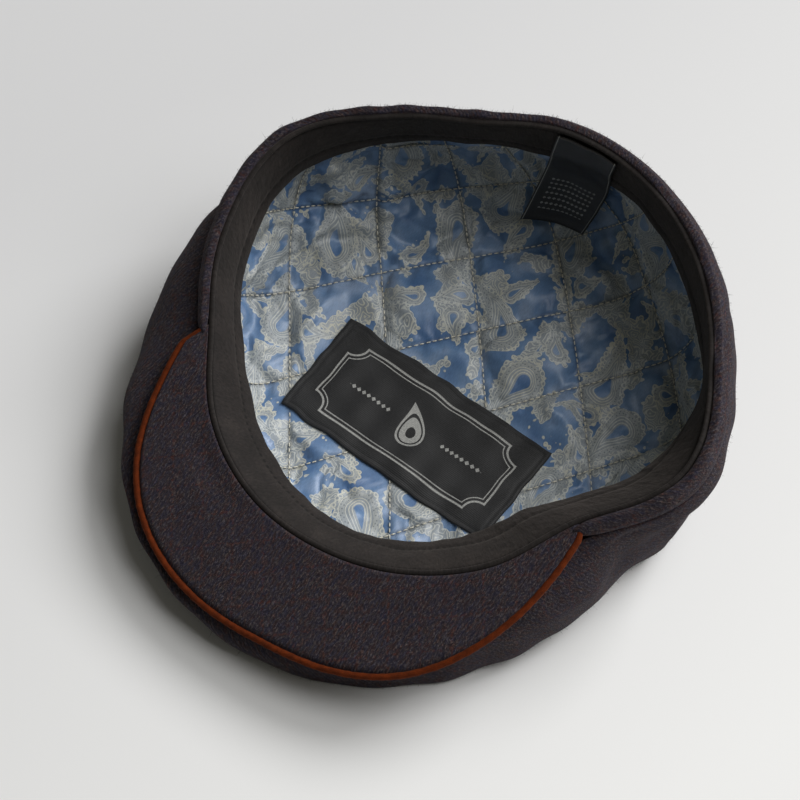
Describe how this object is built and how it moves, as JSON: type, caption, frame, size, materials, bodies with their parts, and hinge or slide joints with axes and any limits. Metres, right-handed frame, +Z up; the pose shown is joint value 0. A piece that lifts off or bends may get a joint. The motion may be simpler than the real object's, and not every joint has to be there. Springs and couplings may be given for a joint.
{
  "type": "tweed cap",
  "caption": "Soft tweed cap with a stiff peak, lying upside down and open, with a ribbon sweatband and a quilted paisley lining.",
  "frame": {"origin": "middle of the cap's bounding box, on the surface that it lies on", "axes": "+Z up, out of the upturned opening; the peak points to -Y; +X is the right-hand side seen from the peak's side"},
  "size_m": [0.2413, 0.2425, 0.104],
  "materials": {
    "tweed": "wool tweed, very dark marl of navy and brown with rust checks",
    "piping": "rust-coloured suede-like cord",
    "ribbon": "matt charcoal ribbon",
    "satin": "blue satin jacquard with a cream paisley, quilted",
    "woven_label": "near-black woven cloth with light grey lines",
    "satin_label": "black satin"
  },
  "bodies": {
    "root": {"crown": "tweed", "band": "tweed", "peak": "tweed", "peak_piping": "piping", "sweatband": "ribbon", "lining": "satin", "label": "woven_label", "size_label": "satin_label"}
  },
  "joints": []
}
